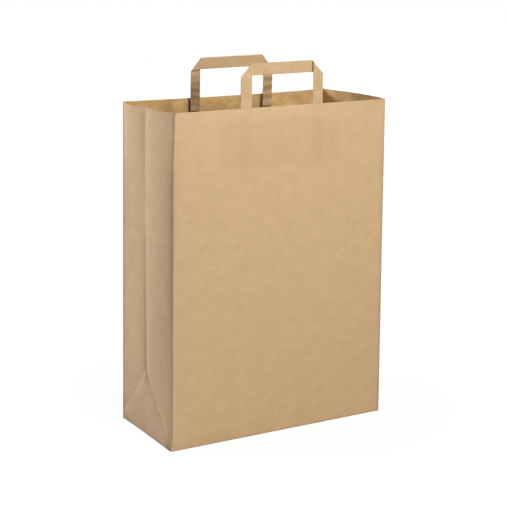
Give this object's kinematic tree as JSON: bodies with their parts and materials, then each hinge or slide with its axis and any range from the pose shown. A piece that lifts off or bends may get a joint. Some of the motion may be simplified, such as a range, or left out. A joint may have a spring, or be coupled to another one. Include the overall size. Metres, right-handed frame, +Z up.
{
  "type": "paper carrier bag",
  "caption": "Standing open brown kraft paper carrier bag with side gussets, a folded block bottom and flat mitred paper handles glued inside under patches.",
  "frame": {"origin": "middle of the base, on the underside of the front bottom flap", "axes": "+Z up out of the bag's mouth, X along the front and back panels, -Y out of the front panel"},
  "size_m": [0.3309, 0.1452, 0.486],
  "materials": {
    "kraft_sheet": "brown kraft paper, uncoated, faintly mottled with fibres",
    "kraft_strip": "folded strip of several plies of brown kraft paper",
    "kraft_patch": "brown kraft paper patch, glued flat"
  },
  "bodies": {
    "root": {"bag_body": "kraft_sheet", "front_handle": "kraft_strip", "front_patch": "kraft_patch", "rear_handle": "kraft_strip", "rear_patch": "kraft_patch"}
  },
  "joints": []
}
